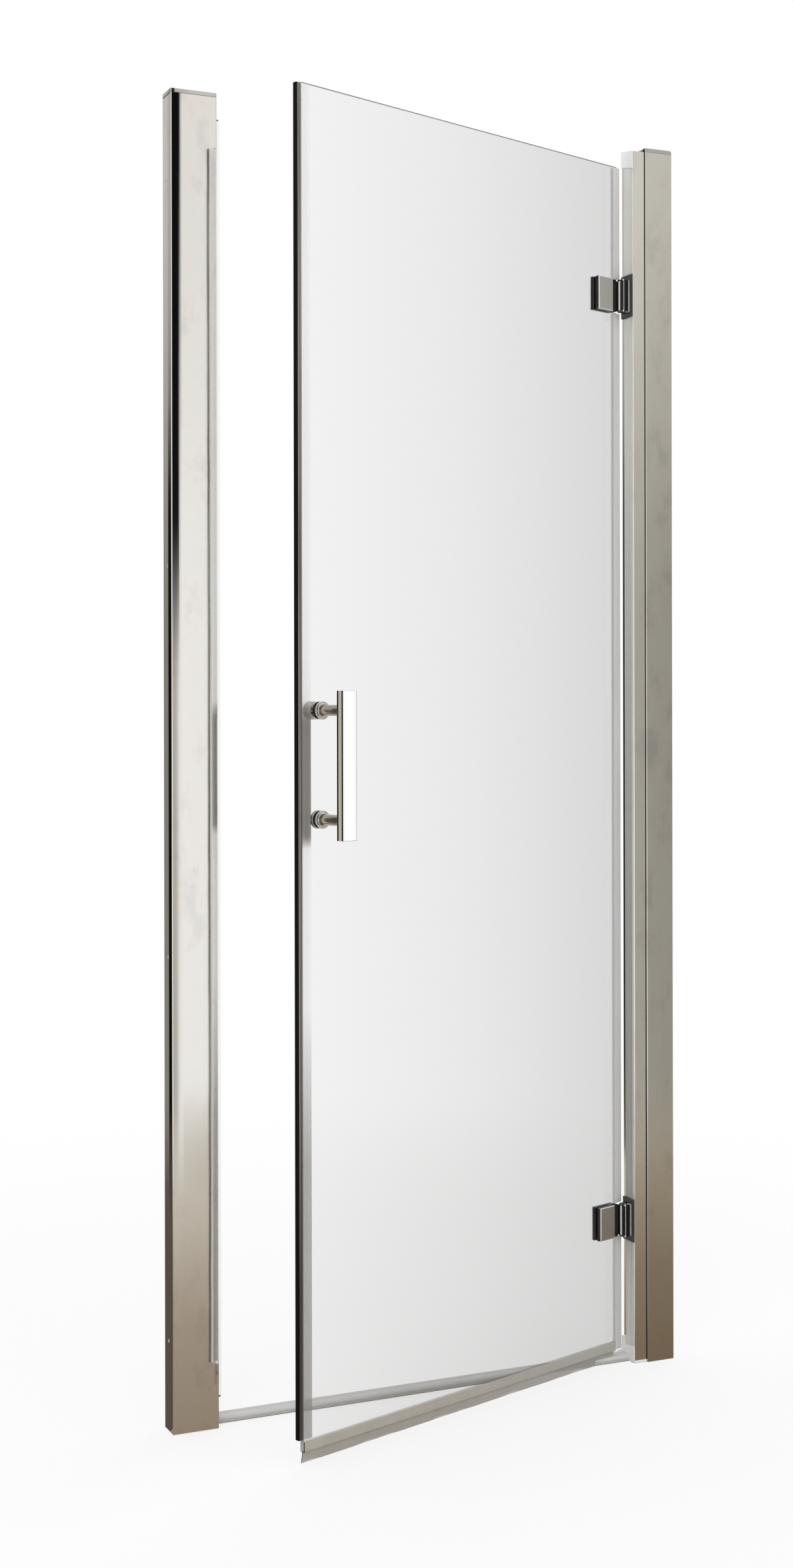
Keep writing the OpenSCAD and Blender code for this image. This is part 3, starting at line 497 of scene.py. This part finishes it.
def clear_profile(name, colour, lean=False, nose=False, clearness=0.5):
    """Extruded clear plastic with flow lines along its length; clearness is the share of
    light that passes straight on, and the legs behind the glass let more pass. lean turns
    the lines of a level profile along the door and darkens its end and its lower joint.
    The door's upright seal has a painted reflection beside the handle, a darker brown
    stretch. Its nose is solid: smoked brown in front, partly its own tint and partly a painted
    reflection of the warm floor, which darkens it towards the floor; pale on its inner side,
    black over the magnet."""
    plastic = Finish(name)
    turned = plastic.on_door()
    lines = (3.0, 1500.0, 700.0) if lean else (1500.0, 1500.0, 3.0)
    flow = plastic.noise(plastic.stretched(lines, at=turned), 1.0, 3.0, 0.6)
    haze = plastic.noise(plastic.stretched((50.0, 50.0, 6.0), at=turned), 1.0, 3.0)
    relief = plastic.bump(flow, 0.15, 0.00004)
    shade = plastic.ramp(flow * 0.55 + haze * 0.45, [
        (0.35, tuple(c * 0.86 for c in colour)), (0.65, colour)])
    spot = plastic.node("ShaderNodeSeparateXYZ", values={0: turned})
    if lean:
        near_hinges = plastic.step(spot, -0.40, -0.05, 0.0, 0.7)
        shade = plastic.mix(near_hinges, shade, (0.52, 0.51, 0.48))
        joint = spot.out("Z").below(joint_high) * spot.out("Z").above(joint_low)
        dark = (joint * 0.45).larger(spot.below(seal_end))
        shade = plastic.mix(dark, shade, (0.02, 0.018, 0.016))
    skin = plastic.principled(
        Base_Color=shade, Roughness=0.08 + flow * 0.12, IOR=1.40,
        Alpha=(1.0 - spot.out("Y").above(rear_leg) * 0.7) * (1.0 - clearness), Normal=relief)
    if nose:
        # Painted reflection beside the handle: a darker brown skin over a band of heights.
        painted_reflection_share = plastic.ramp(spot.out("Z") / height_span,
                             [(height / height_span, much) for height, much in painted_reflection_heights])
        painted_reflection_skin = plastic.principled(
            Base_Color=plastic.ramp(flow, [
                (0.35, (0.10, 0.085, 0.065)), (0.65, (0.18, 0.16, 0.13))]),
            Roughness=0.3, Normal=relief)
        skin = plastic.node("ShaderNodeMixShader", values={
            0: painted_reflection_share * spot.out("Y").below(glass_middle), 1: skin, 2: painted_reflection_skin})
        # The nose front: a smoked tint and a painted reflection of the warm floor, darker low down.
        tint_and_painted_reflection = plastic.ramp(flow, [(0.38, (0.085, 0.070, 0.060)), (0.52, (0.22, 0.195, 0.175)),
                                     (0.66, (0.31, 0.29, 0.265))])
        near_floor = plastic.step(spot.out("Z"), 0.10, 0.75)
        tint_and_painted_reflection = plastic.mix(near_floor, plastic.mix(0.75, tint_and_painted_reflection, (0.030, 0.019, 0.016)), tint_and_painted_reflection)
        inner = plastic.mix(spot.below(magnet_ends), (0.92, 0.92, 0.90), (0.004, 0.004, 0.004))
        solid = plastic.principled(
            Base_Color=plastic.mix(spot.out("Y").above(nose_back), tint_and_painted_reflection, inner),
            Roughness=0.25 + flow * 0.15, Normal=relief)
        skin = plastic.node("ShaderNodeMixShader", values={
            0: spot.below(nose_starts), 1: skin, 2: solid})
    return plastic.made(skin)


strike_pvc = clear_profile("strike_pvc", (0.95, 0.95, 0.94), clearness=0.87)
magnet = Finish("magnet_strip")
ferrite = magnet.noise(magnet.place(), 1200.0, 2.0)
magnet_strip = magnet.made(magnet.principled(
    Base_Color=magnet.ramp(ferrite, [(0.3, (0.003, 0.003, 0.003)), (0.8, (0.008, 0.008, 0.007))]),
    Roughness=0.6 + ferrite * 0.2, Specular_IOR_Level=0.12,
    Normal=magnet.bump(ferrite, 0.2, 0.00005)))
dress(strike_pvc, "strike_seal")
dress(magnet_strip, "strike_magnet", "door_magnet")


# ---------------------------------------------------------------------------------------
# The threshold: a hollow aluminium bar with a rounded front on black mounting tape, a
# plug in its left end, and a white moulded block with a sealing lip at the hinge jamb.
brushed = Finish("threshold_aluminium")
rub = brushed.noise(brushed.stretched((3.0, 1400.0, 1400.0)), 1.0, 3.0, 0.6)
traffic = brushed.noise(brushed.stretched((25.0, 60.0, 60.0)), 1.0, 4.0)
threshold_aluminium = brushed.made(brushed.principled(
    Base_Color=brushed.ramp(rub * 0.4 + traffic * 0.6, [
        (0.3, (0.70, 0.70, 0.69)), (0.7, (0.78, 0.78, 0.77))]),
    Metallic=0.4, Roughness=0.30 + rub * 0.10 + traffic * 0.06,
    Normal=brushed.bump(rub, 0.12, 0.00004)))
dress(threshold_aluminium, "threshold_bar")
dress(black_tape, "threshold_tape")
dress(white_plastic, "threshold_end_left")
rounded_piece("threshold_end_right", 0.0004, white_plastic)


# ---------------------------------------------------------------------------------------
# Locking screws hold each jamb to its wall channel, three to a side on the inside face.
# Domed white caps snap over their heads; one dome is copied to the six places.
zinc = Finish("zinc_steel")
plating = zinc.noise(zinc.place(), 500.0, 3.0)
zinc_steel = zinc.made(zinc.principled(
    Base_Color=zinc.ramp(plating, [(0.3, (0.50, 0.50, 0.49)), (0.7, (0.60, 0.60, 0.60))]),
    Metallic=1.0, Roughness=0.28 + plating * 0.15, Normal=zinc.bump(plating, 0.2, 0.00004)))
dress(zinc_steel, "locking_screws")

back_face = 0.0185
cap_places = [(x, back_face, z) for x in (-0.378, 0.375) for z in (0.150, 0.925, 1.700)]


def grown(name, tree, points, inputs):
    """Runs a geometry tree on a few points and returns the plain mesh that it makes."""
    seeds = bpy.data.meshes.new(name + "_places")
    seeds.from_pydata([tuple(p) for p in points], [], [])
    holder = bpy.data.objects.new(name + "_places", seeds)
    bpy.context.scene.collection.objects.link(holder)
    grower = holder.modifiers.new("grower", "NODES")
    grower.node_group = tree
    for socket in tree.interface.items_tree:
        if socket.item_type == "SOCKET" and socket.in_out == "INPUT" and socket.name in inputs:
            grower[socket.identifier] = inputs[socket.name]
    graph = bpy.context.evaluated_depsgraph_get()
    mesh = bpy.data.meshes.new_from_object(holder.evaluated_get(graph))
    mesh.name = name
    holder.modifiers.remove(grower)
    bpy.data.objects.remove(holder)
    bpy.data.meshes.remove(seeds)
    return mesh


def growing_tree(name, sizes):
    """A geometry tree with a geometry input and output and named size inputs."""
    tree = bpy.data.node_groups.new(name, "GeometryNodeTree")
    tree.interface.new_socket("Geometry", in_out="INPUT", socket_type="NodeSocketGeometry")
    for size, kind in sizes.items():
        tree.interface.new_socket(size, in_out="INPUT", socket_type=kind)
    tree.interface.new_socket("Geometry", in_out="OUTPUT", socket_type="NodeSocketGeometry")
    board = Board(tree)
    return tree, board, board.node("NodeGroupInput")


cap_tree, board, given = growing_tree("domed_caps", {
    "Radius": "NodeSocketFloat", "Height": "NodeSocketFloat", "Dome": "NodeSocketFloat",
    "Finish": "NodeSocketMaterial"})
disc = board.node("GeometryNodeMeshCylinder", {"fill_type": "NGON"}, {
    "Vertices": 40, "Side Segments": 2, "Fill Segments": 5,
    "Radius": given.out("Radius"), "Depth": given.out("Height")})
spot = board.node("ShaderNodeSeparateXYZ", values={0: board.node("GeometryNodeInputPosition")})
out_from_middle = board.node("ShaderNodeMath", {"operation": "SQRT"}, {
    0: spot.out("X") * spot.out("X") + spot.out("Y") * spot.out("Y")})
share = out_from_middle / given.out("Radius")
swell = (1.0 - share * share) * given.out("Dome") * spot.out("Z").above(0.0)
domed = board.node("GeometryNodeSetPosition", values={
    "Geometry": disc, "Offset": board.node("ShaderNodeCombineXYZ", values={2: swell})})
seated = board.node("GeometryNodeTransform", values={
    "Geometry": domed, "Translation": board.node("ShaderNodeCombineXYZ", values={
        2: given.out("Height") * 0.5})})
row = board.node("GeometryNodeInstanceOnPoints", values={
    "Points": given.out("Geometry"), "Instance": seated,
    "Rotation": (math.radians(-90), 0.0, 0.0)})
smooth = board.node("GeometryNodeSetShadeSmooth", values={
    "Geometry": board.node("GeometryNodeRealizeInstances", values={"Geometry": row})})
board.node("NodeGroupOutput", values={
    0: board.node("GeometryNodeSetMaterial", values={
        "Geometry": smooth, "Material": given.out("Finish")})})
caps = grown("screw_caps_domed", cap_tree, cap_places, {
    "Radius": 0.0052, "Height": 0.0024, "Dome": 0.0008, "Finish": white_plastic})
caps.set_sharp_from_angle(angle=math.radians(35))
fitted("screw_caps_domed", caps, [white_plastic], "frame", ["screw_caps"])


# ---------------------------------------------------------------------------------------
# The fixed half of each hinge: a zinc casting whose foot sits in the jamb's slot and whose
# thin open shell wraps the barrel. It is painted dark, a painted reflection of the dark
# room, with painted highlights along its edges and in upright lines. A black plate trims
# it, and nut plates inside the jamb take its screws. Steel pins run through the barrels.
def polished(name, colour, roughness):
    """Plated metal with the faint unevenness of polishing."""
    plate = Finish(name)
    wave = plate.noise(plate.place(), 55.0, 2.0)
    wear = plate.noise(plate.place(), 900.0, 2.0)
    return plate.made(plate.principled(
        Base_Color=plate.ramp(wave * 0.7 + wear * 0.3, [
            (0.3, tuple(c * 0.96 for c in colour)), (0.7, colour)]),
        Metallic=1.0, Roughness=roughness + wear * 0.04 + wave * 0.02,
        Normal=plate.bump(wave, 0.12, 0.0003)))


chrome = polished("chrome", (0.86, 0.86, 0.86), 0.035)
satin = Finish("satin_chrome")
grain = satin.noise(satin.stretched((500.0, 500.0, 2500.0)), 1.0, 3.0, 0.65)
satin_chrome = satin.made(satin.principled(
    Base_Color=satin.ramp(grain, [(0.25, (0.58, 0.57, 0.54)), (0.75, (0.66, 0.65, 0.62))]),
    Metallic=1.0, Roughness=0.30 + grain * 0.10, Normal=satin.bump(grain, 0.15, 0.00004)))
trim = Finish("black_plate")
powder = trim.noise(trim.place(), 1500.0, 3.0)
black_plate = trim.made(trim.principled(
    Base_Color=trim.ramp(powder, [(0.3, (0.038, 0.038, 0.037)), (0.8, (0.066, 0.065, 0.063))]),
    Roughness=0.34 + powder * 0.15, Normal=trim.bump(powder, 0.3, 0.00004)))

# Painted highlights: the edges of the shell and the bevels of the clamps are painted bright.
highlight_paint = Finish("painted_highlight_edge")
touch = highlight_paint.noise(highlight_paint.place(), 400.0, 3.0)
painted_highlight_edge = highlight_paint.made(highlight_paint.principled(
    Base_Color=highlight_paint.ramp(touch, [(0.3, (0.90, 0.89, 0.86)), (0.7, (0.97, 0.96, 0.94))]),
    Metallic=0.3, Roughness=0.35 + touch * 0.1, Normal=highlight_paint.bump(touch, 0.1, 0.00003)))


def dark_metal_with_painted_lines(name, lines_on):
    """Metal painted dark for its dark reflections, with painted highlights where lines_on(finish,
    spot) gives 1.
    """
    plate = Finish(name)
    skin = plate.noise(plate.place(), 800.0, 3.0)
    painted_highlight_mask = lines_on(plate, plate.node("ShaderNodeSeparateXYZ", values={0: plate.place()}))
    return plate.made(plate.node("ShaderNodeMixShader", values={
        0: painted_highlight_mask,
        1: plate.principled(
            Base_Color=plate.ramp(skin, [
                (0.3, (0.012, 0.011, 0.010)), (0.8, (0.028, 0.026, 0.024))]),
            Metallic=0.6, Roughness=0.28 + skin * 0.12),
        2: plate.principled(
            Base_Color=plate.ramp(skin, [(0.3, (0.92, 0.91, 0.88)), (0.7, (0.98, 0.97, 0.95))]),
            Roughness=0.35 + skin * 0.1)}))


def shell_painted_highlights(plate, spot):
    """Painted highlights as upright lines on the round shell: one left of its front, and its
    right-hand side.
    """
    around = plate.node("ShaderNodeMath", {"operation": "ARCTAN2"}, {
        0: pivot[0] - spot, 1: 0.0 - spot.out("Y")})
    left = around.above(math.radians(24)) * around.below(math.radians(36))
    right = around.below(math.radians(-22)) * around.above(math.radians(-80))
    return left + right


shell_metal = dark_metal_with_painted_lines("shell_metal", shell_painted_highlights)
for side in ("upper", "lower"):
    shell = broken_edges(side + "_hinge_body", 0.0007, edge_material=1)
    fitted(side + "_hinge_body_rounded", shell, [shell_metal, painted_highlight_edge], "frame",
           [side + "_hinge_body"])
    rounded_piece(side + "_hinge_plate", 0.0004, black_plate)
dress(zinc_steel, "hinge_pins", "hinge_body_screws", "hinge_nut_plates")


# ---------------------------------------------------------------------------------------
# The turning half of each hinge: a barrel and neck, painted dark for their dark reflections,
# with a painted highlight strip on the barrel, that pass through the notch in the glass. The
# glass is held between rubber gaskets, under a satin cover outside, whose bevels carry
# painted highlights, and a plated back plate inside with chrome bevels. The four sides of
# both are painted dark, a painted reflection. Four screws with plastic bushes draw them
# together.
door_turn = Matrix.Rotation(door_lean, 3, "Z")
door_right = door_turn @ Vector((1, 0, 0))
door_back = door_turn @ Vector((0, 1, 0))
square_on = 0.98
highlight_reach, highlight_depth = (0.0075, 0.0085), (-0.0034, 0.0010)


def bevels_apart(mesh):
    """Gives the bevels of a clamp plate its second finish, and its four sides the third."""
    for face in mesh.polygons:
        flat = abs(face.normal.dot(door_back)) > square_on
        side_on = max(abs(face.normal.dot(door_right)), abs(face.normal.z)) > square_on
        face.material_index = 0 if flat else 2 if side_on else 1


def barrel_painted_highlight(plate, spot):
    """A painted highlight: an upright strip on the barrel beside the shell."""
    from_axis = pivot[0] - spot
    return (from_axis.above(highlight_reach[0]) * from_axis.below(highlight_reach[1])
            * spot.out("Y").above(highlight_depth[0]) * spot.out("Y").below(highlight_depth[1]))


leaf_metal = dark_metal_with_painted_lines("leaf_metal", barrel_painted_highlight)
# The clamp plates' sides: painted dark with brown and grey streaks, a painted reflection of the
# dark room.
side_paint = Finish("side_painted_reflection")
streak = side_paint.noise(side_paint.stretched((420.0, 420.0, 6.0)), 1.0, 3.0, 0.6)
side_painted_reflection = side_paint.made(side_paint.principled(
    Base_Color=side_paint.ramp(streak, [(0.35, (0.010, 0.009, 0.008)), (0.5, (0.075, 0.062, 0.050)),
                                   (0.62, (0.13, 0.125, 0.125))]),
    Metallic=0.3, Roughness=0.25 + streak * 0.1))
for side in ("upper", "lower"):
    rounded_piece(side + "_hinge_leaf", 0.0003, leaf_metal, "door")
    cover = broken_edges(side + "_clamp_cover", 0.00012, 1)
    fitted(side + "_clamp_cover_bevelled", cover, [satin_chrome, painted_highlight_edge, side_painted_reflection],
           "door", [side + "_clamp_cover"])
    bevels_apart(cover)
    back = broken_edges(side + "_clamp_back", 0.00015, 1)
    fitted(side + "_clamp_back_bevelled", back, [satin_chrome, chrome, side_painted_reflection], "door",
           [side + "_clamp_back"])
    bevels_apart(back)
dress(black_rubber, "clamp_gaskets")
dress(white_plastic, "clamp_bushes")
dress(zinc_steel, "clamp_screws")


# ---------------------------------------------------------------------------------------
# The glass: one 6 mm toughened pane with ground edges, notched for the hinges and drilled.
# It is clear, with a painted reflection that makes it a little greyer towards the hinges.
# Its bare edges look bottle-dark, and the upright and lower ones inside the seals are pale.
glass_mesh = broken_edges("glass_panel", 0.0004, 1)
pane = Finish("clear_glass")
# A painted reflection: the pane's colour greys towards the hinges.
reach = pane.node("ShaderNodeSeparateXYZ", values={0: pane.on_door()}) / glass_edge_x
painted_reflection_tint = pane.ramp(reach, [(0.0, (0.70, 0.70, 0.70)), (0.5, (0.80, 0.80, 0.80)),
                         (1.0, (0.885, 0.885, 0.885))])
film = pane.noise(pane.stretched((6.0, 6.0, 2.5)), 1.0, 4.0)
clear_glass = pane.made(pane.principled(
    Base_Color=painted_reflection_tint, Roughness=0.0, IOR=1.45, Transmission_Weight=1.0,
    Normal=pane.bump(film, 0.02, 0.0002)))
arris = Finish("glass_edge")
ground = arris.noise(arris.place(), 1600.0, 3.0)
glass_edge = arris.made(arris.principled(
    Base_Color=arris.ramp(ground, [(0.3, (0.012, 0.028, 0.024)), (0.8, (0.03, 0.06, 0.052))]),
    Roughness=0.22 + ground * 0.2, Normal=arris.bump(ground, 0.3, 0.00003)))
sealed = Finish("glass_edge_in_seal")
frost = sealed.noise(sealed.place(), 1600.0, 3.0)
glass_edge_in_seal = sealed.made(sealed.principled(
    Base_Color=sealed.ramp(frost, [(0.3, (0.34, 0.35, 0.345)), (0.8, (0.44, 0.45, 0.445))]),
    Roughness=0.4 + frost * 0.2, Normal=sealed.bump(frost, 0.3, 0.00003)))
fitted("glass_pane", glass_mesh, [clear_glass, glass_edge, glass_edge_in_seal], "door",
       ["glass_panel"])
for face in glass_mesh.polygons:
    face.use_smooth = False
    if abs(face.normal.dot(door_back)) < 0.99:
        in_seal = abs(face.normal.dot(door_right)) > 0.9 or face.normal.z < -0.3
        face.material_index = 2 if in_seal else 1


# ---------------------------------------------------------------------------------------
# Seals pushed onto the glass: the magnetic one on the free edge with its brown nose, three
# lengths with a fin on the hinge side, and one along the bottom. All are clear soft PVC.
door_pvc = clear_profile("door_pvc", (0.92, 0.915, 0.89), nose=True, clearness=0.8)
hinge_pvc = clear_profile("hinge_pvc", (0.78, 0.765, 0.755), clearness=0.08)
bottom_pvc = clear_profile("bottom_pvc", (0.58, 0.53, 0.465), True, clearness=0.2)
dress(door_pvc, "magnetic_seal")
dress(hinge_pvc, "hinge_side_seal")
dress(bottom_pvc, "bottom_seal")

# The drip fin hangs under the bottom seal. It is a thin blade, thinner at its lip and a
# little wavy as soft plastic is, cut short where it rides over the threshold.
soft_pvc = clear_profile("soft_pvc", (0.48, 0.43, 0.37), True, clearness=0.30)
fin_from, fin_cut, fin_to = -0.6347, -0.0540, -0.0133
fin_root_z, fin_lip_z, fin_short_z = 0.01665, 0.0010, 0.0108
fin_sweep, fin_half_root, fin_half_loss = 0.0024, 0.00055, 0.00020
fin_waves = [(0.00035, 47.0, 0.0), (0.0002, 131.0, 1.0)]
fin_steps, fin_rings = 120, 6


def fin_station(x, lip_z):
    """One cross-section of the blade, as a loop of points in the door's own frame."""
    wave = sum(height * math.sin(x * pitch + start) for height, pitch, start in fin_waves)
    front, rear = [], []
    for i in range(fin_rings + 1):
        drop = i / fin_rings
        z = fin_root_z + (lip_z - fin_root_z) * drop
        depth = (fin_root_z - z) / (fin_root_z - fin_lip_z)
        y = glass_middle + fin_sweep * depth ** 1.4 + wave * depth
        half = fin_half_root - fin_half_loss * depth
        front.append(Vector((x, y - half, z)))
        rear.append(Vector((x, y + half, z)))
    return front + rear[::-1]


stations = [(fin_from + (fin_cut - fin_from) * i / fin_steps, fin_lip_z)
            for i in range(fin_steps + 1)]
stations += [(fin_cut + 0.0002, fin_short_z), (fin_to, fin_short_z)]
blade = bmesh.new()
loops = [[blade.verts.new(door_turn @ p + Vector(pivot)) for p in fin_station(*station)]
         for station in stations]
for near, away in zip(loops, loops[1:]):
    for i in range(len(near)):
        j = (i + 1) % len(near)
        blade.faces.new((near[i], near[j], away[j], away[i]))
blade.faces.new(loops[0][::-1])
blade.faces.new(loops[-1])
bmesh.ops.recalc_face_normals(blade, faces=blade.faces)
fin_mesh = bpy.data.meshes.new("drip_fin_blade")
blade.to_mesh(fin_mesh)
blade.free()
fin_mesh.shade_smooth()
fin_mesh.set_sharp_from_angle(angle=math.radians(40))
fitted("drip_fin_blade", fin_mesh, [soft_pvc], "door", ["drip_fin"])


# ---------------------------------------------------------------------------------------
# The handle: a flat-fronted grip bar on two round posts with stepped roses, all polished
# chrome. Soft washers sit on both faces of the glass, and a knob and a cap close it inside.
# Its look is painted reflection: the bar is painted white in front, with a painted brown
# band between two dark ones on its sides and a dark line down its right-hand edge, and the
# round pieces are painted a smoky brown, with bright chrome edges.
bar_points = [door_turn.transposed() @ (v.co - Vector(pivot))
              for v in cad["handle_bar"].data.vertices]
bar_front, bar_rear = min(p.y for p in bar_points), max(p.y for p in bar_points)
bar_right = max(p.x for p in bar_points)
bar = Finish("bar_chrome")
bar_wave = bar.noise(bar.place(), 40.0, 2.0)
bar_spot = bar.node("ShaderNodeSeparateXYZ", values={0: bar.on_door()})
depth = (bar_spot.out("Y") - bar_front) / (bar_rear - bar_front)
# Painted reflections across the bar's depth: white front, dark, brown, dark, grey rear.
painted_reflection_bands = bar.ramp(depth, [
    (0.0, (1.0, 1.0, 1.0)), (0.03, (1.0, 1.0, 1.0)), (0.06, (0.03, 0.025, 0.02)),
    (0.22, (0.03, 0.025, 0.02)), (0.28, (0.90, 0.84, 0.74)), (0.70, (1.0, 0.94, 0.85)),
    (0.76, (0.03, 0.025, 0.02)), (0.92, (0.05, 0.045, 0.04)), (0.96, (0.86, 0.86, 0.86))])
edge_width, edge_depth = 0.0009, 0.08
# A painted dark reflection down the bar's right-hand edge.
painted_dark_edge = bar_spot.above(bar_right - edge_width) * depth.below(edge_depth)
bar_chrome = bar.made(bar.principled(
    Base_Color=bar.mix(painted_dark_edge, painted_reflection_bands, (0.03, 0.028, 0.025)),
    Metallic=0.9, Roughness=0.03 + bar_wave * 0.03, Normal=bar.bump(bar_wave, 0.1, 0.0003)))
rounded_piece("handle_bar", 0.0008, bar_chrome, "door", 3)
# The round pieces: chrome painted a smoky brown, a painted reflection.
painted_reflection_chrome = polished("painted_reflection_chrome", (0.40, 0.365, 0.315), 0.05)
for name, width in (("handle_posts", 0.0003), ("handle_roses", 0.0005),
                    ("inner_knob", 0.0008), ("inner_cap", 0.0006)):
    fitted(name + "_rounded", broken_edges(name, width, 3, 1), [painted_reflection_chrome, chrome], "door",
           [name])
dress(black_rubber, "handle_washers")
dress(zinc_steel, "handle_studs")
